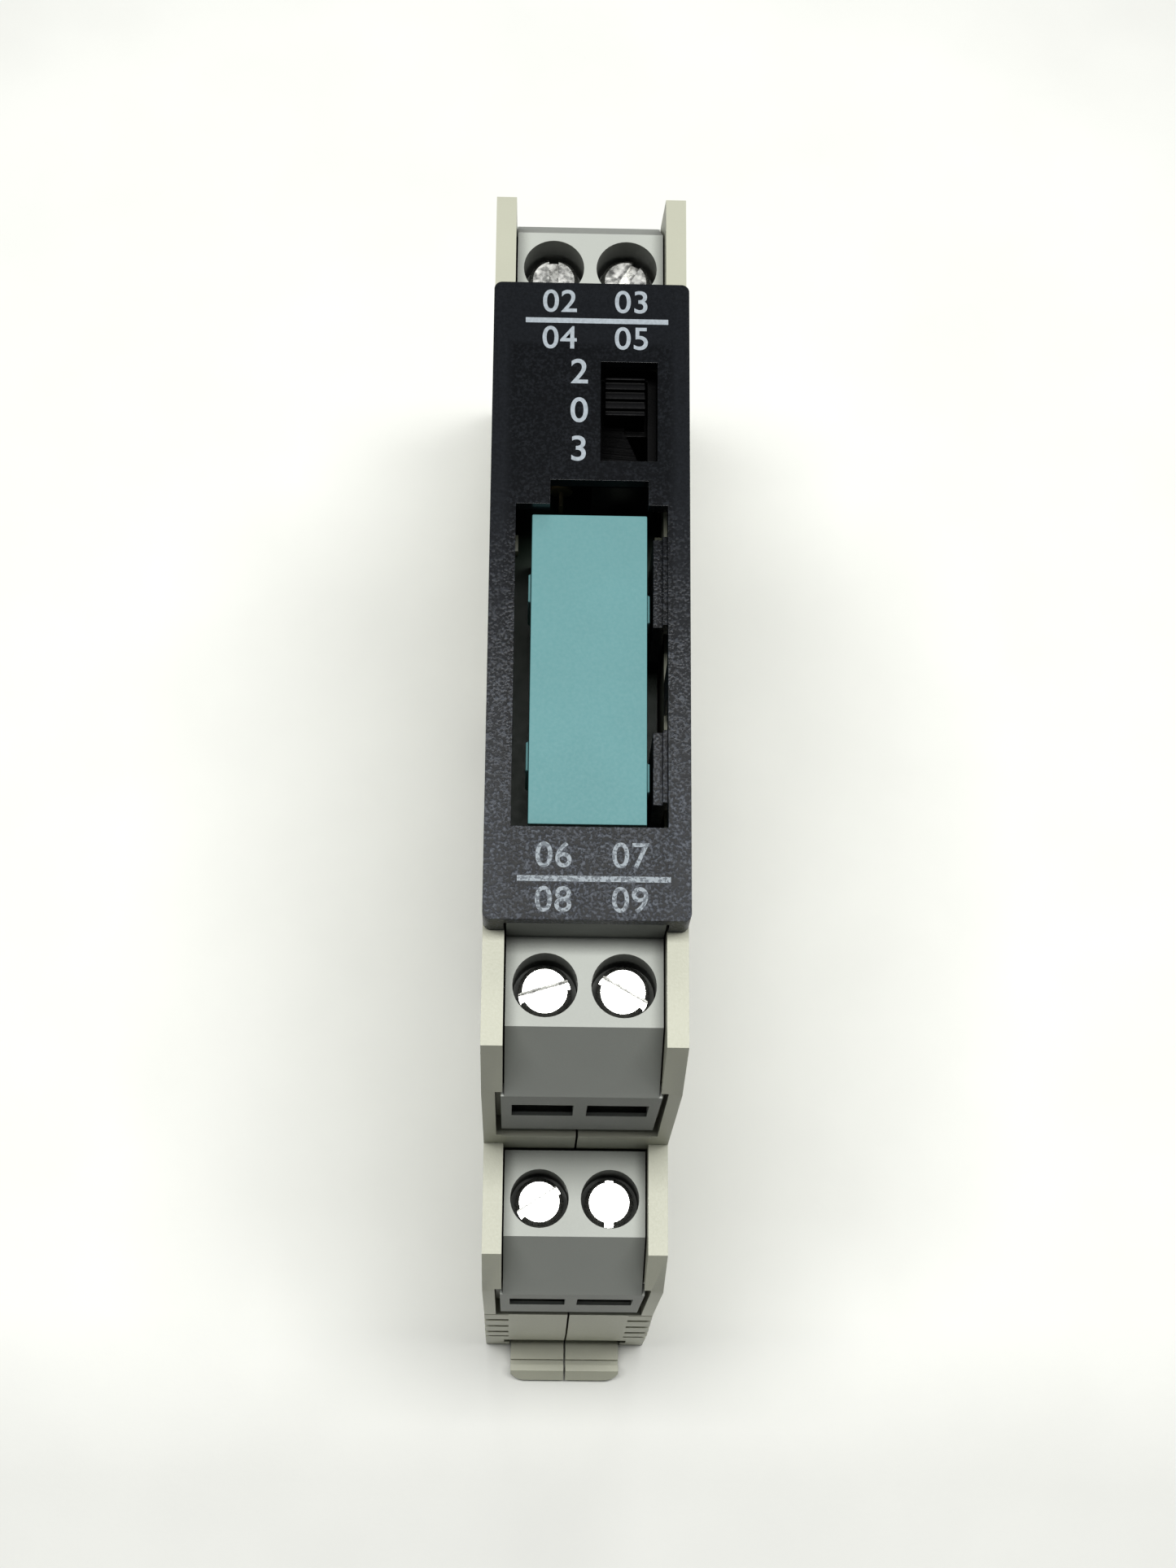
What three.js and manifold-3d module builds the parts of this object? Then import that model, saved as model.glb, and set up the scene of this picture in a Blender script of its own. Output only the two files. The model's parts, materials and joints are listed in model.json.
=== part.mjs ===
// DIN-rail coupling relay, one module wide, with two terminal rows at each end, a smoked front
// cover, a three-position slide switch and a card relay behind the cover's window.
// Millimetres. X is the module width, Y its length, +Z its front; it lies on its rail side, Z = 0.
// The contact end (the one with the rail latch) is towards -Y, the coil end towards +Y.
import * as THREE from "three";
import { mergeVertices } from "three/addons/utils/BufferGeometryUtils.js";
import Module from "manifold-3d";

const wasm = await Module();
wasm.setup();

// ---- driving dimensions -------------------------------------------------------------------
const moduleWidth = 17.5;
const half = moduleWidth / 2;
const wall = 1.85;
const inside = half - wall; // half width between the side walls
const seam = 0.1; // half of the parting gap between the two shells
const gap = 0.2; // running gap between neighbouring pieces

const coverTop = 88;
const wallTop = 84;
const coverEnd = { 1: 29.0, "-1": 29.9 }; // cover length from the middle, per end
const coverSkin = 1.4;
const skirt = 1.2;
const endWall = 1.1;
const clipY = [-8, 14]; // the cover's snap legs, along each side

const tierDrop = 32; // lower terminal row below the upper one
const tierStep = 13.7; // and further out
const blockBack = 29.4;
const blockFront = 42.3;
const blockTop = 81.4;
const blockBottom = 57;
const blockHalf = inside - 0.15;
const poleX = 3.37; // each screw and clamp, left and right of the middle
const screwY = 34;
const headTop = 79;
const ledgeTop = 76.7; // shoulder under the screw head
const chamberTop = 75.4;
const stripZ = [69.4, 70.2];
const clampY = [31.3, 36.7];

const baseTop = 24.8;
const baseEnd = 57.2;
const slabTop = 9;
const railSeat = 6;
const railLand = 5.7; // the raised land that the rail's front bears on
const railHalf = 18.3;

const boardZ = [72.4, 74];
const relayY = [-21.2, 7.15];
const relayHalf = 5.08;
const relayTop = 86.5;
const coilZ = 80.9;
const armatureZ = 77.2; // height of the armature's pivot edge
const contactY = -14.05; // moving contact blade
const switchX = 3.1;
const knobY = 18.87;

const latchEnd = -61.2;
const shiftY = (-latchEnd - baseEnd) / 2; // puts the origin under the middle of the whole

const slotAngles = {
  contact_upper_left: 17,
  contact_upper_right: -30,
  contact_lower_left: 33,
  contact_lower_right: 90,
  coil_upper_left: 90,
  coil_upper_right: 60,
  coil_lower_left: 48,
  coil_lower_right: -15,
};

// ---- materials ----------------------------------------------------------------------------
const finish = (color, roughness, metalness = 0, opacity = 1) => () =>
  new THREE.MeshStandardMaterial({
    color,
    roughness,
    metalness,
    opacity,
    transparent: opacity < 1,
  });
const ivoryPlastic = finish(0xc9c9b8, 0.55);
const greyPlastic = finish(0xa9aba8, 0.5);
const smokedPlastic = finish(0x2a2b2e, 0.25, 0, 0.6);
const blackPlastic = finish(0x111112, 0.45);
const tealPlastic = finish(0x6fb3b6, 0.4);
const whitePlastic = finish(0xdedbd0, 0.5);
const nickelSteel = finish(0xc4c4c0, 0.28, 1);
const zincSteel = finish(0xaeb2b4, 0.4, 1);
const brass = finish(0xc9a24a, 0.35, 1);
const copper = finish(0xb5652d, 0.35, 1);
const silver = finish(0xd9d9d6, 0.25, 1);
const boardGreen = finish(0x2f6b3c, 0.5);
const clearLens = finish(0xd8e0d0, 0.15, 0, 0.8);
const resistorBody = finish(0xb9a07a, 0.5);
const diodeGlass = finish(0x2b2b2b, 0.35);

// ---- solids -------------------------------------------------------------------------------
function solid(geometry) {
  geometry.deleteAttribute("normal");
  geometry.deleteAttribute("uv");
  const merged = mergeVertices(geometry, 1e-5);
  const mesh = new wasm.Mesh({
    numProp: 3,
    vertProperties: merged.attributes.position.array,
    triVerts: new Uint32Array(merged.index.array),
  });
  return new wasm.Manifold(mesh);
}

const add = (...solids) => solids.flat().reduce((all, one) => all.add(one));
const cut = (body, ...tools) => tools.flat().reduce((all, one) => all.subtract(one), body);

// A box between two opposite corners, in any order.
function box(xs, ys, zs) {
  const size = [xs, ys, zs].map(([a, b]) => Math.abs(b - a));
  const middle = [xs, ys, zs].map(([a, b]) => (a + b) / 2);
  return solid(new THREE.BoxGeometry(...size).translate(...middle));
}

const toShape = (points) => new THREE.Shape(points.map(([u, v]) => new THREE.Vector2(u, v)));

// A side outline of [y, z] points, extruded from x0 to x1.
function slab(points, [x0, x1]) {
  const depth = Math.abs(x1 - x0);
  const geometry = new THREE.ExtrudeGeometry(toShape(points), { depth, bevelEnabled: false });
  const turn = new THREE.Matrix4().makeBasis(
    new THREE.Vector3(0, 1, 0),
    new THREE.Vector3(0, 0, 1),
    new THREE.Vector3(1, 0, 0),
  );
  return solid(geometry.applyMatrix4(turn).translate(Math.min(x0, x1), 0, 0));
}

// A plan outline, extruded from z0 to z1.
function plate(shape, [z0, z1]) {
  const geometry = new THREE.ExtrudeGeometry(shape, {
    depth: z1 - z0,
    bevelEnabled: false,
    curveSegments: 6,
  });
  return solid(geometry.translate(0, 0, z0));
}

function roundedPlan([x0, x1], [y0, y1], r) {
  const shape = new THREE.Shape();
  shape.absarc(x1 - r, y1 - r, r, 0, Math.PI / 2);
  shape.absarc(x0 + r, y1 - r, r, Math.PI / 2, Math.PI);
  shape.absarc(x0 + r, y0 + r, r, Math.PI, 1.5 * Math.PI);
  shape.absarc(x1 - r, y0 + r, r, 1.5 * Math.PI, 2 * Math.PI);
  return shape;
}

// A round bar along "x", "y" or "z", from a to b on that axis; u and v are its other coordinates.
function bar(axis, [a, b], u, v, r, sides = 32) {
  const geometry = new THREE.CylinderGeometry(r, r, Math.abs(b - a), sides);
  const middle = (a + b) / 2;
  if (axis === "x") return solid(geometry.rotateZ(Math.PI / 2).translate(middle, u, v));
  if (axis === "y") return solid(geometry.translate(u, middle, v));
  return solid(geometry.rotateX(Math.PI / 2).translate(u, v, middle));
}

// A turned shape: [radius, height] points from axis to axis, standing along +Z.
function turned(profile, sides = 32) {
  const points = profile.map(([r, z]) => new THREE.Vector2(r, z));
  return solid(new THREE.LatheGeometry(points, sides).rotateX(Math.PI / 2));
}

const root = new THREE.Group();
root.position.y = shiftY;

function toMesh(name, body, material) {
  const result = body.getMesh();
  const geometry = new THREE.BufferGeometry();
  geometry.setAttribute("position", new THREE.BufferAttribute(result.vertProperties, 3));
  geometry.setIndex(new THREE.BufferAttribute(result.triVerts, 1));
  const flat = geometry.toNonIndexed();
  flat.computeVertexNormals();
  const mesh = new THREE.Mesh(flat, material());
  mesh.name = name;
  return mesh;
}

function place(name, body, material, parent = root) {
  const mesh = toMesh(name, body, material);
  parent.add(mesh);
  return mesh;
}

const bothWays = (side, [a, b]) => [side * a, side * b];
const grow = ([a, b], by) => [a - by, b + by];

// ---- where the conductors run -------------------------------------------------------------
const ends = { coil: 1, contact: -1 };
const tiers = { upper: 0, lower: 1 };
const sides = { left: -1, right: 1 };
const poles = [];
for (const [endName, end] of Object.entries(ends)) {
  for (const [tierName, tier] of Object.entries(tiers)) {
    for (const [sideName, side] of Object.entries(sides)) {
      poles.push({ name: `${endName}_${tierName}_${sideName}`, end, tier, x: side * poleX });
    }
  }
}
const outBy = (tier) => tier * tierStep;
const downBy = (tier) => tier * tierDrop;
const legY = (tier) => (tier ? [22.9, 23.7] : [24.6, 25.4]); // strip's upright, at the board

// ---- housing: two mirrored shells -----------------------------------------------------------
const endOutline = [
  [baseEnd, 0],
  [baseEnd - 0.1, 12],
  [56.15, baseTop],
  [55.9, wallTop - tierDrop - 8],
  [53.3, wallTop - tierDrop],
  [42.85, wallTop - tierDrop],
  [42.15, 74.5],
  [39.8, wallTop],
];
const railHook = [
  [18, railSeat],
  [18, 4.4],
  [15.9, 4.4],
  [15.9, 2],
  [19.5, 0],
];
const sideOutline = [
  ...endOutline,
  ...endOutline.map(([y, z]) => [-y, z]).reverse(),
  [-railHalf, 0],
  [-railHalf, railSeat],
  ...railHook,
];
const cavityOutline = [
  [-54.6, slabTop],
  [54.6, slabTop],
  [54.6, baseTop],
  [70, baseTop],
  [70, 100],
  [-70, 100],
  [-70, baseTop],
  [-54.6, baseTop],
];
const bossPlaces = [
  [0, 26],
  [0, 58],
  [-34, 22],
  [34, 22],
  [-34, 48],
  [34, 48],
];
const frontPlate = { 1: [22.9, 27.6], "-1": [21.8, 27.9] };
const gripGrooves = [24.0, 20.5, 16.7, 13.1, 9.2];

function terminalWalls(side, end) {
  const across = bothWays(side, [seam, inside + 0.1]);
  const [plateIn, plateOut] = frontPlate[end];
  const walls = [
    box(across, [end * 41.3, end * 42.85], [slabTop - 0.1, 56]),
    box(across, [end * (plateOut - 1.4), end * plateOut], [58, wallTop]),
    box(across, [end * plateIn, end * plateOut], [82.2, wallTop]),
    box(bothWays(side, [6.1, inside + 0.1]), [end * 30, end * 40.5], [55.6, blockBottom - 0.15]),
    box(bothWays(side, [6.1, inside + 0.1]), [end * 44, end * 54.3], [23.6, baseTop + 0.05]),
  ];
  const slotX = [side * poleX - 1.95, side * poleX + 1.95];
  const slots = [0, 1].map((tier) => {
    const z = stripZ.map((height) => height - downBy(tier));
    return box(slotX, [end * 20, end * 43], grow(z, 0.4));
  });
  return cut(add(walls), slots);
}

function shell(side) {
  const across = bothWays(side, [seam, half]);
  const hollow = bothWays(side, [-1, inside]);
  const thinned = bothWays(side, [-1, 7.55]);
  let body = cut(
    slab(sideOutline, across),
    slab(cavityOutline, hollow),
    box(bothWays(side, [-1, 7.5]), [-27, 27], [79.5, 90]),
  );
  for (const end of [-1, 1]) {
    body = body.add(terminalWalls(side, end));
    for (const tier of [0, 1]) {
      const y = [end * (40.9 + outBy(tier)), end * (43.5 + outBy(tier))];
      const top = tier ? wallTop - tierDrop - 7.6 : 74.8;
      body = body.subtract(box(thinned, y, [56.02 - downBy(tier), top]));
    }
    const grip = gripGrooves.map((z) =>
      box(bothWays(side, [6.25, half + 1]), [end * 56.2, end * 60], [z - 0.5, z + 0.5]),
    );
    body = cut(body, grip);
  }
  // the latch's guide: wider above, so that the latch can't drop out
  body = cut(
    body,
    box(bothWays(side, [-1, 6.15]), [-70, -railHalf + 1], [-1, 2.45]),
    box(bothWays(side, [-1, 6.75]), [-70, -railHalf + 1], [2.4, 5]),
    [25, 36, 47].map((y) => box(hollow, [y, y + 8], [-1, 7.2])),
  );
  const springPost = box(bothWays(side, [seam, 1.9]), [-49.8, -48], [1.2, 5.1]);
  const boardRests = [-16, 0, 16].map((y) =>
    box(bothWays(side, [5.9, inside + 0.1]), [y - 3, y + 3], [70.2, boardZ[0] - 0.15]),
  );
  const boardCatches = [-23.5, 8.9].map((y) =>
    box(bothWays(side, [6.3, inside + 0.1]), [y - 0.8, y + 0.8], [boardZ[1] + 0.15, 75.4]),
  );
  const bosses = bossPlaces.map(([y, z]) =>
    bar("x", bothWays(side, [seam, inside + 0.1]), y, z, 2.4, 24),
  );
  const clipPockets = clipY.map((y) => box(bothWays(side, [7, 7.95]), [y - 1.9, y + 1.9], [80.7, 82]));
  const land = box(across, [-15.2, 15.2], [railLand, railSeat + 0.1]);
  body = add(cut(body, clipPockets), springPost, land, boardRests, boardCatches, bosses);
  if (side > 0) {
    return cut(body, bossPlaces.map(([y, z]) => bar("x", [-1, 4.2], y, z, 1.35, 20)));
  }
  return add(body, bossPlaces.map(([y, z]) => bar("x", [-1, 3.8], y, z, 1.2, 20)));
}

function makeHousing() {
  place("housing_left", shell(-1), ivoryPlastic);
  place("housing_right", shell(1), ivoryPlastic);
}

// ---- smoked front cover ---------------------------------------------------------------------
function makeCover() {
  const ys = [-coverEnd[-1], coverEnd[1]];
  const rim = plate(roundedPlan([-half, half], ys, 0.7), [wallTop + 0.15, coverTop]);
  const hollowX = [skirt - half, half - skirt];
  const hollow = box(hollowX, [ys[0] + endWall, ys[1] - endWall], [0, coverTop - coverSkin]);
  // the contact end is open in the middle, where the terminal block stands up under the cover
  const openEnd = box([-6.95, 6.95], [ys[0] - 1, ys[0] + 2], [0, coverTop - coverSkin]);
  const window = box([-6.5, 6.8], [-21.8, 7.5], [80, 90]);
  const notch = box([-3.5, 5.1], [7.4, 9.8], [80, 90]);
  const switchSlot = box([0.85, 5.9], [11.7, 21.25], [80, 90]);
  const clips = [-1, 1].flatMap((side) =>
    clipY.map((y) =>
      add(
        box(bothWays(side, [6.65, 7.65]), [y - 1.5, y + 1.5], [84.35, coverTop - 1]),
        box(bothWays(side, [6.65, 7.3]), [y - 1.5, y + 1.5], [80.9, 84.5]),
        box(bothWays(side, [7.2, 7.7]), [y - 1.5, y + 1.5], [80.9, 81.7]),
      ),
    ),
  );
  const shellOnly = cut(rim, hollow, openEnd);
  const windowed = cut(add(shellOnly, clips), window, notch, switchSlot);
  // ribs that hang down beside the relay on its right, and keep it upright
  const relayGuides = [
    [-19.3, -12.8],
    [-3.2, 5],
  ].map((y) => add(box([5.6, 6.6], y, [77, 86.2]), box([6.4, 7.6], y, [84.5, coverTop - 1])));
  place("front_cover", add(windowed, relayGuides), smokedPlastic);
}

// ---- terminals ------------------------------------------------------------------------------
const blockOutline = [
  [blockBack, blockBottom],
  [blockFront, blockBottom],
  [blockFront, 74],
  [41.75, 74.8],
  [37.6, blockTop],
  [blockBack, blockTop],
];

function terminalBlock(end) {
  const outline = blockOutline.map(([y, z]) => [end * y, z]);
  const lip = box([-7.05, 7.05], [end * 41.15, end * blockFront], [blockBottom, 74]);
  const body = slab(outline, [-blockHalf, blockHalf]).add(lip);
  const hollows = [-1, 1].map((side) => {
    const x = side * poleX;
    const chamberX = bothWays(side, [0.6, 6.15]);
    return [
      bar("z", [ledgeTop, 90], x, end * screwY, 2.8, 40),
      bar("z", [chamberTop - 1, 90], x, end * screwY, 1.75, 28),
      box(chamberX, [end * 31, end * 40.9], [62.3, chamberTop]),
      box(bothWays(side, [0.6, 6.1]), [end * 40, end * 44], [64.4, 69.8]),
      // the floor drops a little just inside the wire entry
      box(bothWays(side, [0.6, 6.1]), [end * 40, end * 41.95], [61.8, 69.8]),
      box([x - 1.8, x + 1.8], [end * 28, end * 32], grow(stripZ, 0.2)),
      box(chamberX, [end * 31, end * 40.9], [50, 61]),
    ];
  });
  return cut(body, hollows.flat());
}

function terminalScrew() {
  const headHeight = 2;
  const length = headTop - stripZ[1] - 0.15;
  const body = turned([
    [0, -length],
    [1.3, -length],
    [1.5, -length + 0.3],
    [1.5, -headHeight],
    [2.3, -headHeight],
    [2.3, -0.35],
    [1.95, 0],
    [0, 0],
  ]);
  return body.subtract(box([-3, 3], [-0.43, 0.43], [-1.1, 1]));
}

function clampCage(end) {
  const x = 2.6;
  const ys = clampY.map((y) => end * (y - screwY));
  return cut(
    box([-x, x], ys, [63.1, 72]),
    box([0.55 - x, x - 0.55], [-5, 5], [64.5, 70.5]),
    bar("z", [70, 73], 0, 0, 1.62, 28),
  );
}

function contactStrip(end, tier) {
  const z = stripZ.map((height) => height - downBy(tier));
  const leg = legY(tier).map((y) => end * y);
  return add(
    box([-1.6, 1.6], [leg[0], end * (37 + outBy(tier))], z),
    box([-1.6, 1.6], leg, [z[0], 71.6]),
    box([-0.7, 0.7], leg, [71.5, 75]),
  );
}

function makeTerminals() {
  const upstand = box([-blockHalf, blockHalf], [-28.4, -29.76], [blockTop - 10, 86.3]);
  for (const [endName, end] of Object.entries(ends)) {
    for (const [tierName, tier] of Object.entries(tiers)) {
      const plain = terminalBlock(end);
      const body = end < 0 && tier === 0 ? plain.add(upstand) : plain;
      const block = place(`terminal_block_${endName}_${tierName}`, body, greyPlastic);
      block.position.set(0, end * outBy(tier), -downBy(tier));
    }
  }
  for (const { name, end, tier, x } of poles) {
    const y = end * (screwY + outBy(tier));
    const screw = place(`screw_${name}`, terminalScrew(), nickelSteel);
    screw.position.set(x, y, headTop - downBy(tier));
    screw.rotation.z = THREE.MathUtils.degToRad(slotAngles[name]);
    place(`clamp_${name}`, clampCage(end), zincSteel).position.set(x, y, -downBy(tier));
    place(`strip_${name}`, contactStrip(end, tier), brass).position.x = x;
  }
}

// ---- circuit board and what stands on it ------------------------------------------------------
const relayPins = [
  { x: 0, y: -15.8 },
  { x: 0, y: contactY },
  { x: 0, y: -12 },
];
const coilPins = [-3.7, 3.7].map((x) => ({ x, y: 3.5 }));
const ledAt = { x: 3, y: 8.9, r: 1.35, lead: 1 };
const axialParts = {
  series_resistor: { x: -2.4, from: 12.8, to: 21.4, r: 1.1, length: 6.2, look: resistorBody },
  protection_diode: { x: -5.2, from: 13.2, to: 21, r: 0.9, length: 4.4, look: diodeGlass },
};
const switchPins = [13.9, 16.4, 18.9].map((y) => ({ x: switchX, y }));

function makeBoard() {
  const holes = [
    ...poles.map(({ x, end, tier }) => {
      const leg = legY(tier).map((y) => end * y);
      return box([x - 0.9, x + 0.9], [Math.min(...leg) - 0.2, Math.max(...leg) + 0.2], [70, 76]);
    }),
    ...relayPins.map(({ x, y }) => box([x - 0.7, x + 0.7], [y - 0.4, y + 0.4], [70, 76])),
    ...coilPins.map(({ x, y }) => bar("z", [70, 76], x, y, 0.45, 16)),
    ...switchPins.map(({ x, y }) => box([x - 0.55, x + 0.55], [y - 0.35, y + 0.35], [70, 76])),
    ...[-1, 1].map((side) => {
      const x = ledAt.x + side * ledAt.lead;
      return box([x - 0.4, x + 0.4], [ledAt.y - 0.4, ledAt.y + 0.4], [70, 76]);
    }),
    ...Object.values(axialParts).flatMap(({ x, from, to }) =>
      [from, to].map((y) => box([x - 0.4, x + 0.4], [y - 0.4, y + 0.4], [70, 76])),
    ),
  ];
  place("circuit_board", cut(box([-6.6, 6.6], [-26.4, 26], boardZ), holes), boardGreen);
}

function makeSmallParts() {
  const { x, y, r, lead: leadX } = ledAt;
  const dome = turned([
    [0, 75],
    [r + 0.15, 75],
    [r + 0.15, 75.8],
    [r, 75.8],
    [r, 78.6],
    [r * 0.72, 79.6],
    [0, 80],
  ], 28).translate([x, y, 0]);
  const legs = [x - leadX, x + leadX].map((at) =>
    box([at - 0.22, at + 0.22], [y - 0.22, y + 0.22], [71.4, 75.1]),
  );
  place("status_led", add(dome, legs), clearLens);
  for (const [name, { x: at, from, to, r: radius, length, look }] of Object.entries(axialParts)) {
    const z = boardZ[1] + radius + 0.3;
    const middle = (from + to) / 2;
    const lead = 0.22;
    const body = add(
      bar("y", [middle - length / 2, middle + length / 2], at, z, radius, 24),
      box([at - lead, at + lead], [from - lead, to + lead], [z - lead, z + lead]),
      [from, to].map((end) => box([at - lead, at + lead], [end - lead, end + lead], [71.4, z])),
    );
    place(name, body, look);
  }
}

// ---- slide switch -----------------------------------------------------------------------------
function makeSwitch() {
  const outerX = [0.2, 6];
  const outerY = [10.7, 22.1];
  const zs = [boardZ[1] + 0.15, 84.4];
  const body = cut(
    box(outerX, outerY, zs),
    box([0.85, 5.35], [11.3, 21.5], [76, 83.4]),
    box([1.05, 5.15], [11.9, 21.1], [80, 90]),
  );
  const pins = switchPins.map(({ x, y }) => box([x - 0.35, x + 0.35], [y - 0.15, y + 0.15], [71.4, 75]));
  place("switch_body", add(body, pins), blackPlastic);

  const capY = [knobY - 1.87, knobY + 1.87];
  const cap = box([switchX - 1.8, switchX + 1.8], capY, [82.1, 86]);
  const carriage = box([0.98, 5.22], [knobY - 2.4, knobY + 2.4], [81, 82.6]);
  const spacing = 0.93;
  const grooves = [-1.5, -0.5, 0.5, 1.5].map((step) => {
    const y = knobY + step * spacing;
    return box([0, 8], [y - 0.2, y + 0.2], [85.5, 87]);
  });
  place("switch_knob", cut(add(cap, carriage), grooves), blackPlastic);
}

// ---- the card relay ---------------------------------------------------------------------------
function makeRelayCase() {
  const bottom = boardZ[1] + 0.2;
  const outer = box([-relayHalf, relayHalf], relayY, [bottom, relayTop]);
  const inner = box([-4.4, 4.4], [relayY[0] + 0.7, relayY[1] - 0.7], [60, 85.8]);
  const nubs = [-1, 1].flatMap((side) =>
    [-15, 0.4].map((y) => {
      const at = y - (side > 0 ? 1.8 : 0);
      return box(bothWays(side, [relayHalf - 0.1, relayHalf + 0.25]), [at - 1.3, at + 1.3], [80, 85.9]);
    }),
  );
  place("relay_case", cut(add(outer, nubs), inner), tealPlastic);

  const base = box([-4.2, 4.2], [relayY[0] + 0.9, relayY[1] - 0.9], [bottom + 0.1, 75.8]);
  const pinHoles = [
    ...relayPins.map(({ x, y }) => box([x - 0.7, x + 0.7], [y - 0.4, y + 0.4], [70, 80])),
    ...coilPins.map(({ x, y }) => bar("z", [70, 80], x, y, 0.38, 16)),
  ];
  place("relay_base", cut(base, pinHoles), blackPlastic);
}

function makeCoil() {
  const flangeX = [-3.25, 3.25];
  const flangeZ = [coilZ - 3.65, coilZ + 3.65];
  const bobbin = cut(
    add(
      bar("y", [-8.2, 4.9], 0, coilZ, 2.05, 28),
      box(flangeX, [-8.3, -7.6], flangeZ),
      box(flangeX, [4.3, 5.0], flangeZ),
    ),
    bar("y", [-9, 6], 0, coilZ, 1.65, 24),
  );
  place("relay_bobbin", bobbin, whitePlastic);
  const winding = cut(
    bar("y", [-7.4, 4.1], 0, coilZ, 3.1, 36),
    bar("y", [-9, 6], 0, coilZ, 2.2, 28),
  );
  place("relay_winding", winding, copper);
  const core = add(bar("y", [-8.6, 5.05], 0, coilZ, 1.5, 24), bar("y", [-9, -8.5], 0, coilZ, 2.2, 28));
  place("relay_core", core, zincSteel);
  const yoke = add(
    box([-3.2, 3.2], [-10.6, 6.2], [76, 77]),
    box([-3.2, 3.2], [5.2, 6.2], [76, 84.6]),
  );
  place("relay_yoke", yoke, zincSteel);
  coilPins.forEach(({ x, y }, index) => {
    const side = index ? "right" : "left";
    place(`relay_coil_pin_${side}`, bar("z", [71.4, 78.5], x, y, 0.25, 12), nickelSteel);
  });
}

function makeContacts() {
  const armature = add(
    box([-3.1, 3.1], [-10.5, -9.6], [armatureZ, 84.75]),
    box([-1.2, 1.2], [-10.5, -9.6], [84.7, 85.45]),
  );
  place("relay_armature", armature, zincSteel);

  const card = cut(
    box([-3, 3], [-15.6, -8.9], [84.95, 85.55]),
    box([-1.4, 1.4], [-10.72, -9.38], [84, 86]),
    box([-1.3, 1.3], [contactY - 0.4, contactY + 0.4], [84, 86]),
  );
  place("contact_card", card, whitePlastic);

  const buttonZ = 82.3;
  const movingBlade = add(
    box([-1.5, 1.5], [contactY - 0.15, contactY + 0.15], [76.05, 84.6]),
    box([-1.1, 1.1], [contactY - 0.15, contactY + 0.15], [84.5, 85.4]),
    bar("y", [contactY - 0.55, contactY + 0.55], 0, buttonZ, 0.8, 20),
  );
  place("contact_spring", movingBlade, brass);

  // y of the blade's two faces, then of the contact's face
  const fixed = {
    contact_normally_closed: [-16.0, -15.6, contactY - 0.62],
    contact_normally_open: [-12.2, -11.8, -12.78],
  };
  for (const [name, [outer, inner, face]] of Object.entries(fixed)) {
    const middle = (outer + inner) / 2;
    const button = face > middle ? [inner - 0.1, face] : [face, outer + 0.1];
    const blade = add(
      box([-1.5, 1.5], [outer, inner], [76, 83.6]),
      box([-0.5, 0.5], [outer, inner], [71.4, 76.1]),
      bar("y", button, 0, buttonZ, 0.8, 20),
    );
    place(name, blade, silver);
  }
  const pin = box([-0.5, 0.5], [contactY - 0.2, contactY + 0.2], [71.4, 75.9]);
  place("contact_common_pin", pin, brass);
}

// ---- rail latch ---------------------------------------------------------------------------------
const latchOutline = [
  [latchEnd, 0.8],
  [latchEnd + 0.5, 0.3],
  [-17.6, 0.3],
  [-15.9, 2.2],
  [-15.9, 4.2],
  [-18.2, 4.2],
  [-18.2, 2.3],
  [-56.4, 2.3],
  [-56.8, 1.7],
  [-59, 1.7],
  [-59, 1],
  [-59.6, 1],
  [-59.6, 2.3],
  [-60.3, 2.3],
];
const springPocketY = [-50, -34];

function latchHalf(side) {
  const slider = slab(latchOutline, bothWays(side, [seam, 6]));
  const runner = box(bothWays(side, [seam, 6.55]), [-54.2, -18.2], [2.25 + gap, 4.75]);
  const core = box(bothWays(side, [seam, 6]), [-54.2, -18.2], [2.2, 4.75]);
  const plan = plate(roundedPlan([-6.6, 6.6], [latchEnd, 0], 2.2), [-1, 6]);
  const pocket = box([-2.1, 2.1], springPocketY, [0.9, 6]);
  return cut(add(slider, runner, core).intersect(plan), pocket);
}

class Coil extends THREE.Curve {
  constructor(radius, length, turns) {
    super();
    Object.assign(this, { radius, length, turns });
  }
  getPoint(t, target = new THREE.Vector3()) {
    const angle = 2 * Math.PI * this.turns * t;
    return target.set(this.radius * Math.cos(angle), this.length * t, this.radius * Math.sin(angle));
  }
}

function makeLatch() {
  place("rail_latch_left", latchHalf(-1), ivoryPlastic);
  place("rail_latch_right", latchHalf(1), ivoryPlastic);
  const wire = 0.2;
  const turns = 8;
  const section = new THREE.Shape().absarc(0, 0, wire, 0, 2 * Math.PI);
  const geometry = new THREE.ExtrudeGeometry(section, {
    steps: turns * 14,
    curveSegments: 3,
    extrudePath: new Coil(1.5, 13.2, turns),
    bevelEnabled: false,
  });
  const spring = place("latch_spring", solid(geometry), zincSteel);
  spring.position.set(0, -47.65, 2.8);
}

makeHousing();
makeCover();
makeTerminals();
makeBoard();
makeSmallParts();
makeSwitch();
makeRelayCase();
makeCoil();
makeContacts();
makeLatch();

export default root;
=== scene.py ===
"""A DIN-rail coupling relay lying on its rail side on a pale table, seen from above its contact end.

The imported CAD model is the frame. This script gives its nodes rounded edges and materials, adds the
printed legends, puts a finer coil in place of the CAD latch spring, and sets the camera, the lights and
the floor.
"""

import json
import math

import bmesh
import bpy
from mathutils import Matrix, Vector


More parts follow.
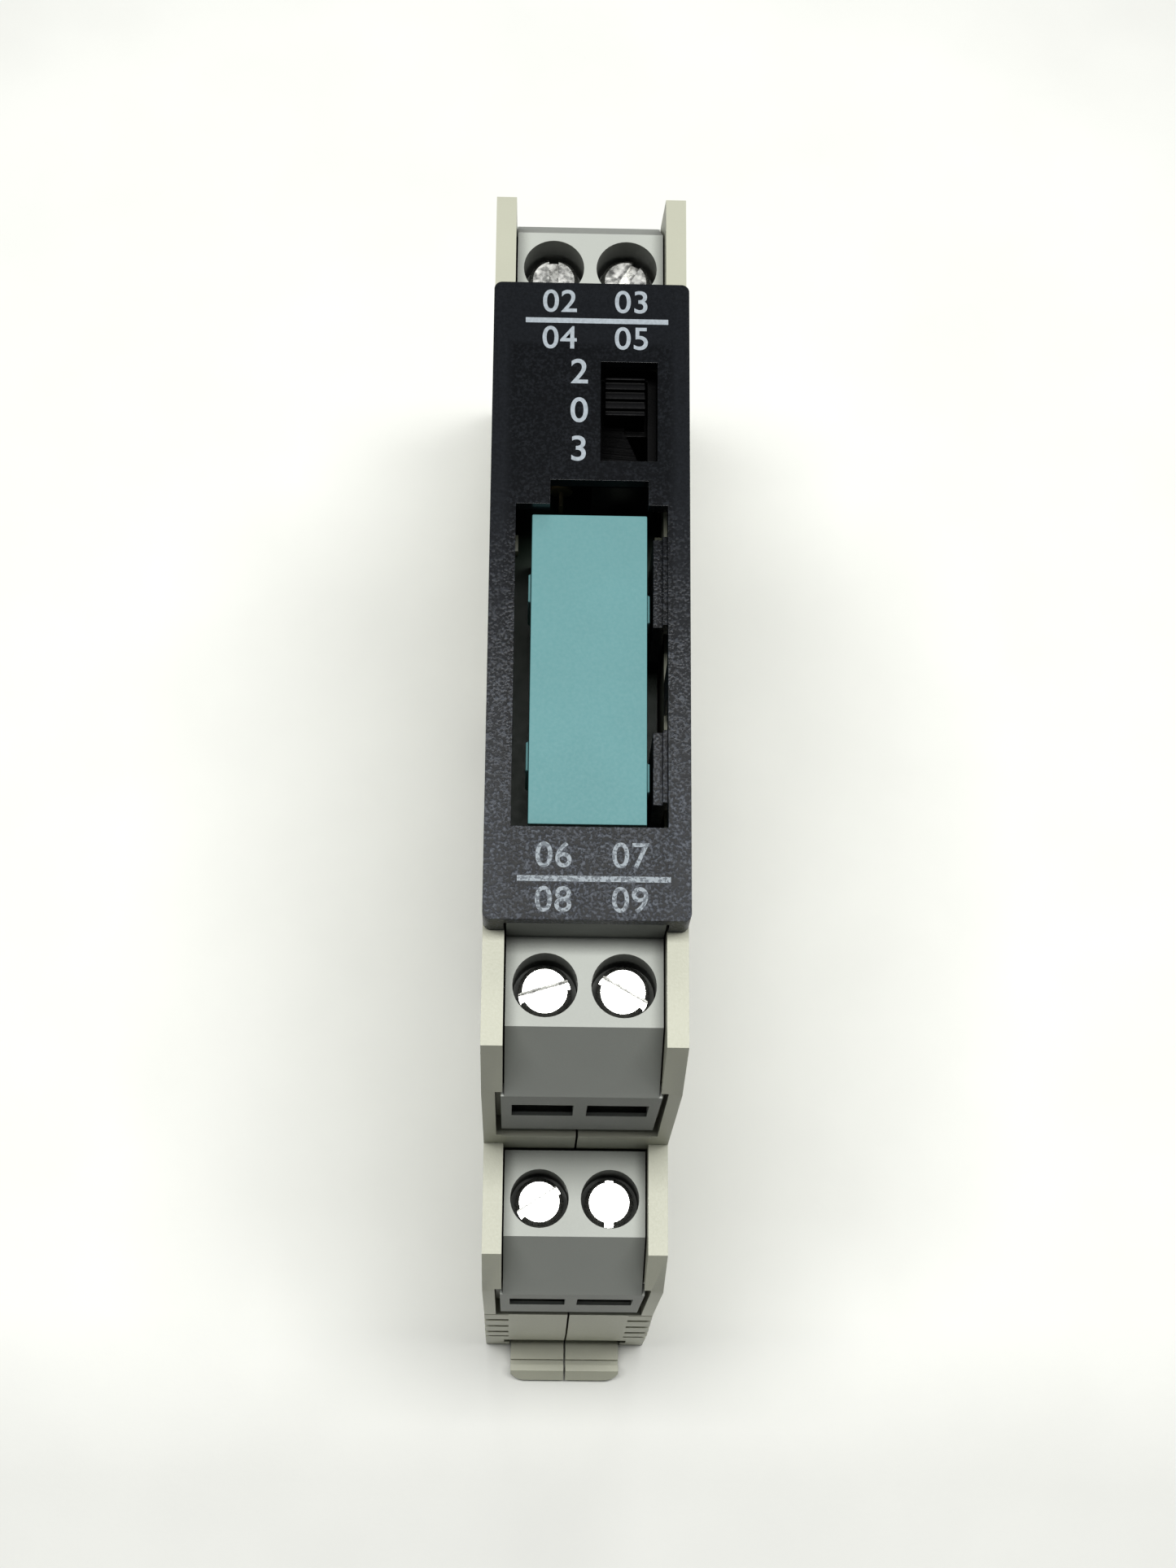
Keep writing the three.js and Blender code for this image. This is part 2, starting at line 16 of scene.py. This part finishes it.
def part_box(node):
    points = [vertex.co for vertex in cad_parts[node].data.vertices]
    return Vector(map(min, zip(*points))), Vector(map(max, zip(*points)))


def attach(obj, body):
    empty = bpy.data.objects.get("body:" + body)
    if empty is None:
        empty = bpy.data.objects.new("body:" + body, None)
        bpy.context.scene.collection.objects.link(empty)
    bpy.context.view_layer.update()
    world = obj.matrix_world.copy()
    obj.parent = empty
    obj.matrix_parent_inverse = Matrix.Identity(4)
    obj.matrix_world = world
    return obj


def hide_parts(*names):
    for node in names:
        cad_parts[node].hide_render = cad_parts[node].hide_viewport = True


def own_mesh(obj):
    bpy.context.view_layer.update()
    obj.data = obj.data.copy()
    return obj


MM = 0.001

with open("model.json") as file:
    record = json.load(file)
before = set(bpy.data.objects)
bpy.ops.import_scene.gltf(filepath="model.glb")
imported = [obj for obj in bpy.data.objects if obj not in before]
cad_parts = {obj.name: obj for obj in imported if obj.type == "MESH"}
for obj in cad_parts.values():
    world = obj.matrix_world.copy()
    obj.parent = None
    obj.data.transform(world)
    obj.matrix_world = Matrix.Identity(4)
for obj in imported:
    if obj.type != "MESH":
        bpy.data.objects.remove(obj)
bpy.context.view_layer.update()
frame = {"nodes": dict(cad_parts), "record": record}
nodes = frame["nodes"]


# ---- camera, lights, floor -----------------------------------------------------------------


def make_camera():
    """The photograph's view: from above, tipped towards the contact end."""
    data = bpy.data.cameras.new("camera")
    data.lens = 59.8
    data.clip_start = 0.01
    data.dof.use_dof = False
    camera = bpy.data.objects.new("camera", data)
    camera.location = Vector((-5.28, -80.27, 298.75)) * MM
    camera.rotation_mode = "ZYX"
    camera.rotation_euler = (0.29577, -0.02391, 0.0151)
    bpy.context.scene.collection.objects.link(camera)
    bpy.context.scene.camera = camera


def make_light(name, place, aim, size, power, tint):
    """A rectangular panel of size metres and power watts at place, facing aim."""
    data = bpy.data.lights.new(name, "AREA")
    data.shape = "RECTANGLE"
    data.size, data.size_y = size
    data.energy = power
    data.color = tint
    light = bpy.data.objects.new(name, data)
    light.location = place
    light.rotation_mode = "QUATERNION"
    light.rotation_quaternion = (Vector(aim) - Vector(place)).to_track_quat("-Z", "Y")
    bpy.context.scene.collection.objects.link(light)


def make_lights():
    """Two soft panels, one above and a weak one beyond the far end, and a faint fill all round."""
    aim = (0, 0, 0.05)
    ceiling = (0, 0.13, 1.6)
    beyond = (0.1, 1.5, 1.2)
    make_light("ceiling_panel", ceiling, aim, size=(1.5, 0.38), power=23.0, tint=(1, 1, 0.975))
    make_light("far_panel", beyond, aim, size=(0.9, 0.5), power=3.5, tint=(1, 1, 0.98))
    world = bpy.data.worlds.new("studio")
    world.use_nodes = True
    background = world.node_tree.nodes["Background"]
    background.inputs["Color"].default_value = (0.95, 0.98, 1, 1)
    background.inputs["Strength"].default_value = 0.08
    bpy.context.scene.world = world
    bpy.context.scene.view_settings.view_transform = "Standard"
    bpy.context.scene.view_settings.look = "Medium High Contrast"


def table_top():
    """Pale laminate with a painted pool of light that darkens away from the object, and a painted
    shadow before its contact end.
    """
    material, tree, shader = new_material("table_top")
    slow = object_noise(tree, 0.05, 3.0)
    fine = object_noise(tree, 1.5, 2.0)
    place = tree.nodes.new("ShaderNodeTexCoord")
    distance = tree.nodes.new("ShaderNodeVectorMath")
    distance.operation = "LENGTH"
    link(tree, place.outputs["Object"], distance.inputs[0])
    # painted light and shadow: the laminate darkens away from the object and before its contact end
    painted_light_falloff = to_range(tree, distance.outputs["Value"], 1.0, 0.3, (0.12, 0.3))
    painted_shadow_before_contact_end = to_range(tree, coordinate(tree, "Y"), 0.86, 1.0, (-0.07, -0.052))
    painted_light_falloff = product(tree, painted_light_falloff, painted_shadow_before_contact_end)
    shade = product(tree, painted_light_falloff, to_range(tree, slow.outputs["Fac"], 0.98, 1.02))
    link(tree, tint(tree, (0.89, 0.895, 0.87), shade), shader.inputs["Base Color"])
    shader.inputs["Roughness"].default_value = 0.6
    bump(tree, shader, fine.outputs["Fac"], 0.01)
    return material


def make_floor():
    mesh = bpy.data.meshes.new("table_top")
    half = 1.5
    corners = [(-half, -half, 0), (half, -half, 0), (half, half, 0), (-half, half, 0)]
    mesh.from_pydata(corners, [], [(0, 1, 2, 3)])
    floor = bpy.data.objects.new("table_top", mesh)
    floor.location.z = -0.0001
    mesh.materials.append(table_top())
    bpy.context.scene.collection.objects.link(floor)


# ---- materials -----------------------------------------------------------------------------


def new_material(name):
    material = bpy.data.materials.new(name)
    material.use_nodes = True
    tree = material.node_tree
    return material, tree, tree.nodes["Principled BSDF"]


def link(tree, output, target):
    tree.links.new(output, target)


def object_noise(tree, scale, detail=3.0, stretch=(1, 1, 1)):
    """Noise fixed to the piece, scale in features per millimetre."""
    place = tree.nodes.new("ShaderNodeTexCoord")
    mapping = tree.nodes.new("ShaderNodeMapping")
    mapping.inputs["Scale"].default_value = Vector(stretch) * scale / MM
    noise = tree.nodes.new("ShaderNodeTexNoise")
    noise.inputs["Scale"].default_value = 1.0
    noise.inputs["Detail"].default_value = detail
    link(tree, place.outputs["Object"], mapping.inputs["Vector"])
    link(tree, mapping.outputs["Vector"], noise.inputs["Vector"])
    return noise


def to_range(tree, value, low, high, source=(0.3, 0.7)):
    node = tree.nodes.new("ShaderNodeMapRange")
    limits = {"From Min": source[0], "From Max": source[1], "To Min": low, "To Max": high}
    for socket, limit in limits.items():
        node.inputs[socket].default_value = limit
    link(tree, value, node.inputs["Value"])
    return node.outputs["Result"]


def combine(tree, operation, *values):
    node = tree.nodes.new("ShaderNodeMath")
    node.operation = operation
    for value, target in zip(values, node.inputs):
        link(tree, value, target)
    return node.outputs["Value"]


def product(tree, first, second):
    return combine(tree, "MULTIPLY", first, second)


def larger(tree, first, second):
    return combine(tree, "MAXIMUM", first, second)


def coordinate(tree, axis, space="Object"):
    """One coordinate of the shaded point, or with space="Normal" of its normal."""
    place = tree.nodes.new("ShaderNodeTexCoord")
    split = tree.nodes.new("ShaderNodeSeparateXYZ")
    link(tree, place.outputs[space], split.inputs["Vector"])
    return split.outputs[axis]


def tint(tree, color, factor):
    """color times a grey factor."""
    node = tree.nodes.new("ShaderNodeMix")
    node.data_type = "RGBA"
    node.blend_type = "MULTIPLY"
    node.inputs["Factor"].default_value = 1.0
    node.inputs["A"].default_value = (*color, 1)
    grey = tree.nodes.new("ShaderNodeCombineColor")
    for channel in ("Red", "Green", "Blue"):
        link(tree, factor, grey.inputs[channel])
    link(tree, grey.outputs["Color"], node.inputs["B"])
    return node.outputs["Result"]


def bump(tree, shader, height, depth, strength=1.0):
    """A height in 0 to 1 times depth millimetres."""
    node = tree.nodes.new("ShaderNodeBump")
    node.inputs["Distance"].default_value = depth * MM
    node.inputs["Strength"].default_value = strength
    link(tree, height, node.inputs["Height"])
    link(tree, node.outputs["Normal"], shader.inputs["Normal"])


def painted_shade_in_hollows(tree, shade, least):
    """Painted shade in hollows: shade, down to least times that deep in wells and slots."""
    hollow = tree.nodes.new("ShaderNodeAmbientOcclusion")
    hollow.samples = 8
    hollow.inputs["Distance"].default_value = 4 * MM
    return product(tree, shade, to_range(tree, hollow.outputs["AO"], least, 1.0, (0.2, 0.72)))


def painted_shade_on_leaning_faces(tree, shade, least):
    """Painted shade on leaning faces: shade on faces that look straight out of the front, down to least
    times that on leaning ones.
    """
    upward = coordinate(tree, "Z", space="Normal")
    return product(tree, shade, to_range(tree, upward, least, 1.0, (0.66, 0.88)))


def plastic(
    name,
    color,
    roughness,
    grain=5.0,
    depth=0.01,
    mottle=0.06,
    specular=0.5,
    # how dark the painted shade in hollows gets
    painted_hollow_shade=0.6,
    # how dark the painted shade on leaning faces gets
    sides=1.0,
):
    """Moulded plastic: slow colour mottling, a fine grain, and roughness that varies with it, with
    painted shade in hollows and on leaning faces.
    """
    material, tree, shader = new_material(name)
    slow = object_noise(tree, 0.12, 4.0)
    fine = object_noise(tree, grain, 2.0)
    shade = to_range(tree, slow.outputs["Fac"], 1 - mottle, 1 + mottle)
    # painted shade in wells, slots and gaps
    shade = painted_shade_in_hollows(tree, shade, painted_hollow_shade)
    # painted shade on faces that lean away from the front
    shade = painted_shade_on_leaning_faces(tree, shade, sides)
    link(tree, tint(tree, color, shade), shader.inputs["Base Color"])
    rough = to_range(tree, fine.outputs["Fac"], roughness - 0.05, roughness + 0.05)
    link(tree, rough, shader.inputs["Roughness"])
    shader.inputs["Specular IOR Level"].default_value = specular
    bump(tree, shader, fine.outputs["Fac"], depth)
    return material


def metal(name, color, roughness, grain=3.0, depth=0.01, stretch=(1, 1, 1), mottle=0.08):
    """Plated or rolled metal with fine tool marks along one direction."""
    material, tree, shader = new_material(name)
    slow = object_noise(tree, 0.5, 4.0)
    marks = object_noise(tree, grain, 3.0, stretch)
    shade = to_range(tree, slow.outputs["Fac"], 1 - mottle, 1 + mottle)
    link(tree, tint(tree, color, shade), shader.inputs["Base Color"])
    shader.inputs["Metallic"].default_value = 1.0
    rough = to_range(tree, marks.outputs["Fac"], roughness - 0.08, roughness + 0.12)
    link(tree, rough, shader.inputs["Roughness"])
    bump(tree, shader, marks.outputs["Fac"], depth)
    return material


def grow_towards_contact_end(tree, weak, strong):
    """weak at the coil end of the cover, strong at its contact end."""
    return to_range(tree, coordinate(tree, "Y"), strong, weak, (-28 * MM, 12 * MM))


def painted_glow_over_far_block(tree, strong):
    """Painted glow of the far terminal block seen through the cover: strong over the end of the cover
    that lies on the block, nothing further in.
    """
    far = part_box("front_cover")[1].y
    return to_range(tree, coordinate(tree, "Y"), 0.0, strong, (far - 6.3 * MM, far - 5.8 * MM))


def haze_and_glow_over_walls(tree, strong):
    """Frosted haze and a painted glow of the walls seen through the cover: nothing over the cover's
    middle, strong over the walls under its sides.
    """
    across = combine(tree, "ABSOLUTE", coordinate(tree, "X"))
    return to_range(tree, across, 0.0, strong, (6.8 * MM, 7.6 * MM))


def smoked_plastic():
    """Dark see-through cover with a frosted moulded grain that is stronger towards the contact end,
    where its speckles are also a painted sheen, and a painted glow over the walls and the far block
    seen through it.
    """
    material, tree, shader = new_material("smoked_plastic")
    fine = object_noise(tree, 4.2, 3.0)
    slow = object_noise(tree, 0.35, 3.0)
    patches = to_range(tree, slow.outputs["Fac"], 0.55, 1.0)
    # frosted speckles, painted lighter towards the contact end as a painted sheen
    frost_and_painted_sheen = product(tree, patches, grow_towards_contact_end(tree, 0.1, 1.0))
    speckle = product(tree, to_range(tree, fine.outputs["Fac"], 0.0, 1.0, (0.44, 0.66)), frost_and_painted_sheen)
    # painted glow of the walls and the far block seen through the cover, with a frosted haze at the
    # sides
    haze_and_painted_glow = larger(tree, haze_and_glow_over_walls(tree, 0.07), painted_glow_over_far_block(tree, 0.06))
    haze_and_painted_glow = product(tree, haze_and_painted_glow, to_range(tree, fine.outputs["Fac"], 0.6, 1.4))
    speckle = larger(tree, speckle, haze_and_painted_glow)
    # the speckles, with their painted sheen and painted glow, lighten the smoked colour up to sixteen
    # times
    shade = to_range(tree, speckle, 1.0, 16.0, (0, 1))
    link(tree, tint(tree, (0.009, 0.010, 0.012), shade), shader.inputs["Base Color"])
    link(tree, grow_towards_contact_end(tree, 0.2, 0.36), shader.inputs["Roughness"])
    link(tree, to_range(tree, speckle, 0.96, 0.97, (0, 1)), shader.inputs["Alpha"])
    shader.inputs["Specular IOR Level"].default_value = 0.22
    bump(tree, shader, speckle, 0.03)
    return material


def printed_ink():
    """Pale printed ink that breaks up where the cover's grain is strong."""
    material, tree, shader = new_material("printed_ink")
    grain = object_noise(tree, 4.2, 3.0)
    shade = to_range(tree, grain.outputs["Fac"], 0.75, 1.0)
    link(tree, tint(tree, (0.42, 0.47, 0.52), shade), shader.inputs["Base Color"])
    worn = to_range(tree, grain.outputs["Fac"], 0.0, 1.0, (0.46, 0.58))
    worn = product(tree, worn, grow_towards_contact_end(tree, 0.0, 0.75))
    link(tree, to_range(tree, worn, 1.0, 0.0, (0, 1)), shader.inputs["Alpha"])
    shader.inputs["Roughness"].default_value = 0.55
    return material


# Each plastic's colour gets painted shade in wells, slots and gaps; the grey's also gets painted shade
# on its leaning faces.
PLASTICS = {
    "ivory_plastic": dict(
        color=(0.515, 0.520, 0.425), roughness=0.42, mottle=0.03, depth=0.012, painted_hollow_shade=0.8
    ),
    # grey: strong painted shade in hollows and on leaning faces, so its tops come out lighter than its
    # slopes
    "grey_plastic": dict(
        color=(0.51, 0.53, 0.50),
        roughness=0.55,
        mottle=0.03,
        depth=0.015,
        specular=0.35,
        painted_hollow_shade=0.3,
        sides=0.6,
    ),
    "black_plastic": dict(
        color=(0.004, 0.004, 0.005), roughness=0.42, mottle=0.1, specular=0.1, painted_hollow_shade=0.3
    ),
    "teal_plastic": dict(
        color=(0.142, 0.325, 0.340), roughness=0.6, grain=3.5, depth=0.012, mottle=0.03
    ),
    "white_plastic": dict(color=(0.66, 0.64, 0.56), roughness=0.45),
    "board_green": dict(color=(0.008, 0.030, 0.014), roughness=0.4, grain=1.2, mottle=0.12),
    "clear_lens": dict(color=(0.62, 0.70, 0.60), roughness=0.15, mottle=0.02, depth=0.002),
    "resistor_body": dict(color=(0.46, 0.35, 0.20), roughness=0.4),
    "diode_body": dict(color=(0.02, 0.02, 0.022), roughness=0.3),
}
METALS = {
    "nickel_steel": dict(color=(0.78, 0.78, 0.76), roughness=0.26, grain=1.8, depth=0.016),
    "zinc_steel": dict(color=(0.55, 0.56, 0.57), roughness=0.38, stretch=(1, 0.1, 1)),
    "brass": dict(color=(0.72, 0.50, 0.20), roughness=0.32, stretch=(1, 0.08, 1)),
    "copper_winding": dict(
        color=(0.55, 0.21, 0.07), roughness=0.34, grain=4.0, stretch=(0.1, 3, 0.1)
    ),
    "contact_silver": dict(color=(0.78, 0.78, 0.76), roughness=0.3),
}
MATERIALS = {name: plastic(name, **look) for name, look in PLASTICS.items()}
MATERIALS.update({name: metal(name, **look) for name, look in METALS.items()})
MATERIALS["smoked_plastic"] = smoked_plastic()
MATERIALS["printed_ink"] = printed_ink()


# ---- rounded edges on the CAD nodes --------------------------------------------------------


def smooth_group():
    """Geometry nodes that shade faces smooth and keep edges over 30 degrees sharp."""
    group = bpy.data.node_groups.new("smooth_by_angle", "GeometryNodeTree")
    group.interface.new_socket("Geometry", in_out="INPUT", socket_type="NodeSocketGeometry")
    group.interface.new_socket("Geometry", in_out="OUTPUT", socket_type="NodeSocketGeometry")
    entry = group.nodes.new("NodeGroupInput")
    leave = group.nodes.new("NodeGroupOutput")
    angle = group.nodes.new("GeometryNodeInputMeshEdgeAngle")
    over = group.nodes.new("FunctionNodeCompare")
    over.data_type = "FLOAT"
    over.operation = "GREATER_THAN"
    over.inputs["B"].default_value = math.radians(30)
    faces = group.nodes.new("GeometryNodeSetShadeSmooth")
    edges = group.nodes.new("GeometryNodeSetShadeSmooth")
    edges.domain = "EDGE"
    edges.inputs["Shade Smooth"].default_value = False
    links = group.links
    links.new(entry.outputs["Geometry"], faces.inputs["Geometry"])
    links.new(faces.outputs["Geometry"], edges.inputs["Geometry"])
    links.new(angle.outputs["Unsigned Angle"], over.inputs["A"])
    links.new(over.outputs["Result"], edges.inputs["Selection"])
    links.new(edges.outputs["Geometry"], leave.inputs["Geometry"])
    return group


SMOOTH = smooth_group()


def round_edges(piece, radius, segments=2):
    """Welds the faceted solid, joins its flat faces and rounds its sharp edges."""
    weld = piece.modifiers.new("weld", "WELD")
    weld.merge_threshold = 1e-6
    flat = piece.modifiers.new("flat_faces", "DECIMATE")
    flat.decimate_type = "DISSOLVE"
    flat.angle_limit = math.radians(0.5)
    if radius:
        bevel = piece.modifiers.new("rounding", "BEVEL")
        bevel.width = radius * MM
        bevel.segments = segments
        bevel.limit_method = "ANGLE"
        bevel.angle_limit = math.radians(30)
        bevel.harden_normals = False
    smooth = piece.modifiers.new("shading", "NODES")
    smooth.node_group = SMOOTH
    flats = piece.modifiers.new("flats_stay_flat", "WEIGHTED_NORMAL")
    flats.keep_sharp = True


ROUNDING = {
    "housing_left": 0.22,
    "housing_right": 0.22,
    "front_cover": 0.25,
    "relay_case": 0.3,
    "switch_knob": 0.08,
    "switch_body": 0.1,
    "rail_latch_left": 0.2,
    "rail_latch_right": 0.2,
    "latch_spring": 0,
    "circuit_board": 0.05,
}


def rounding_for(name):
    if name in ROUNDING:
        return ROUNDING[name]
    if name.startswith("terminal_block"):
        return 0.18
    if name.startswith("screw"):
        return 0.07
    return 0.06


def finish_nodes():
    slots = {row["node"]: row["material_slot"] for row in frame["record"]["subparts"]}
    for name, node in nodes.items():
        node.data.materials.clear()
        node.data.materials.append(MATERIALS[slots[name]])
        round_edges(node, rounding_for(name))


# ---- printed legends -----------------------------------------------------------------------


SIZE_PER_FIGURE_HEIGHT = 1.38  # the font's size over the height of its figures
PRINT_THICKNESS = 0.012
PRINT_LIFT = 0.004  # half of the print is sunk in the cover's face


def print_on_cover(name, mesh, x, y):
    """Puts a printed mesh on the cover's face, centred at x, y in mm."""
    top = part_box("front_cover")[1].z
    mesh.materials.clear()
    mesh.materials.append(MATERIALS["printed_ink"])
    mesh.transform(Matrix.Translation((x * MM, y * MM, top + PRINT_LIFT * MM)))
    piece = bpy.data.objects.new(name, mesh)
    bpy.context.scene.collection.objects.link(piece)
    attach(piece, "housing")


def print_text(name, body, x, y, height):
    """A pale legend centred at x, y, with figures of that height, in mm."""
    curve = bpy.data.curves.new(name, "FONT")
    curve.body = body
    curve.align_x = "CENTER"
    curve.align_y = "CENTER"
    curve.size = height * SIZE_PER_FIGURE_HEIGHT * MM
    curve.offset = 0.03 * MM  # makes the strokes a little bolder
    curve.extrude = PRINT_THICKNESS / 2 * MM
    curve.space_character = 1.05
    text = bpy.data.objects.new(name, curve)
    bpy.context.scene.collection.objects.link(text)
    bpy.context.view_layer.update()
    mesh = bpy.data.meshes.new_from_object(text)
    bpy.data.objects.remove(text)
    print_on_cover(name, mesh, x, y)


def print_line(name, x0, x1, y, width):
    """A printed bar from x0 to x1 with its middle line at y, in mm."""
    mesh = bpy.data.meshes.new(name)
    bm = bmesh.new()
    bmesh.ops.create_cube(bm, size=1.0)
    scale = Matrix.Diagonal(((x1 - x0) * MM, width * MM, PRINT_THICKNESS * MM, 1))
    bmesh.ops.transform(bm, matrix=scale, verts=bm.verts)
    bm.to_mesh(mesh)
    bm.free()
    print_on_cover(name, mesh, (x0 + x1) / 2, y)


def make_legends():
    """Plain numbers: pairs above and below a line at each end, and three by the switch."""
    low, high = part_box("front_cover")
    far = high.y / MM
    near = low.y / MM
    columns = (-2.85, 3.6)
    rows = {"far": (far - 1.95, far - 5.55), "near": (near + 5.5, near + 1.65)}
    numbers = iter(range(2, 10))
    for end, ys in rows.items():
        for y in ys:
            for x in columns:
                number = next(numbers)
                print_text(f"legend_{end}_{number}", f"0{number}", x, y, 2.25)
    print_line("legend_line_far", -5.9, 6.85, far - 3.75, 0.5)
    print_line("legend_line_near", -5.9, 7.0, near + 3.55, 0.5)
    for mark, y in zip("203", (far - 8.85, far - 12.6, far - 16.3)):
        print_text(f"legend_switch_{mark}", mark, -1.05, y, 2.45)


# ---- the latch's return spring ---------------------------------------------------------------


def spring_mesh(name, radius, wire, length, turns):
    """A compression spring along +Y from the origin, with a closed turn at each end, in mm."""
    steps, sides = 28, 8
    dead = 1.0
    total = turns + 2 * dead
    rings = []
    bm = bmesh.new()
    for step in range(int(total * steps) + 1):
        turn = step / steps
        live = min(max(turn - dead, 0.0), turns) / turns
        shut = 2 * wire * (min(turn, dead) + max(turn - dead - turns, 0.0))
        along = wire + shut + live * (length - 2 * wire - 4 * wire * dead)
        angle = 2 * math.pi * turn
        outward = Vector((math.cos(angle), 0, math.sin(angle)))
        centre = outward * radius + Vector((0, along, 0))
        ring = []
        for side in range(sides):
            around = 2 * math.pi * side / sides
            offset = outward * math.cos(around) + Vector((0, 1, 0)) * math.sin(around)
            ring.append(bm.verts.new((centre + offset * wire) * MM))
        rings.append(ring)
    for one, two in zip(rings, rings[1:]):
        for side in range(sides):
            other = (side + 1) % sides
            bm.faces.new((one[side], one[other], two[other], two[side]))
    bm.faces.new(reversed(rings[0]))
    bm.faces.new(rings[-1])
    bmesh.ops.recalc_face_normals(bm, faces=bm.faces)
    for face in bm.faces:
        face.smooth = True
    mesh = bpy.data.meshes.new(name)
    bm.to_mesh(mesh)
    bm.free()
    return mesh


def make_latch_spring():
    """Stands between the housing's post and the latch's pocket."""
    low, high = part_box("latch_spring")
    radius = (high.x - low.x) / 2 / MM
    length = (high.y - low.y) / MM
    wire = 0.2
    mesh = spring_mesh("latch_spring_coil", radius - wire, wire, length, turns=7)
    mesh.materials.append(MATERIALS["zinc_steel"])
    piece = bpy.data.objects.new("latch_spring_coil", mesh)
    piece.location = ((low.x + high.x) / 2, low.y, (low.z + high.z) / 2)
    bpy.context.scene.collection.objects.link(piece)
    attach(piece, "housing")
    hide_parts("latch_spring")
    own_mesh(piece)


make_camera()
make_lights()
make_floor()
finish_nodes()
make_legends()
make_latch_spring()
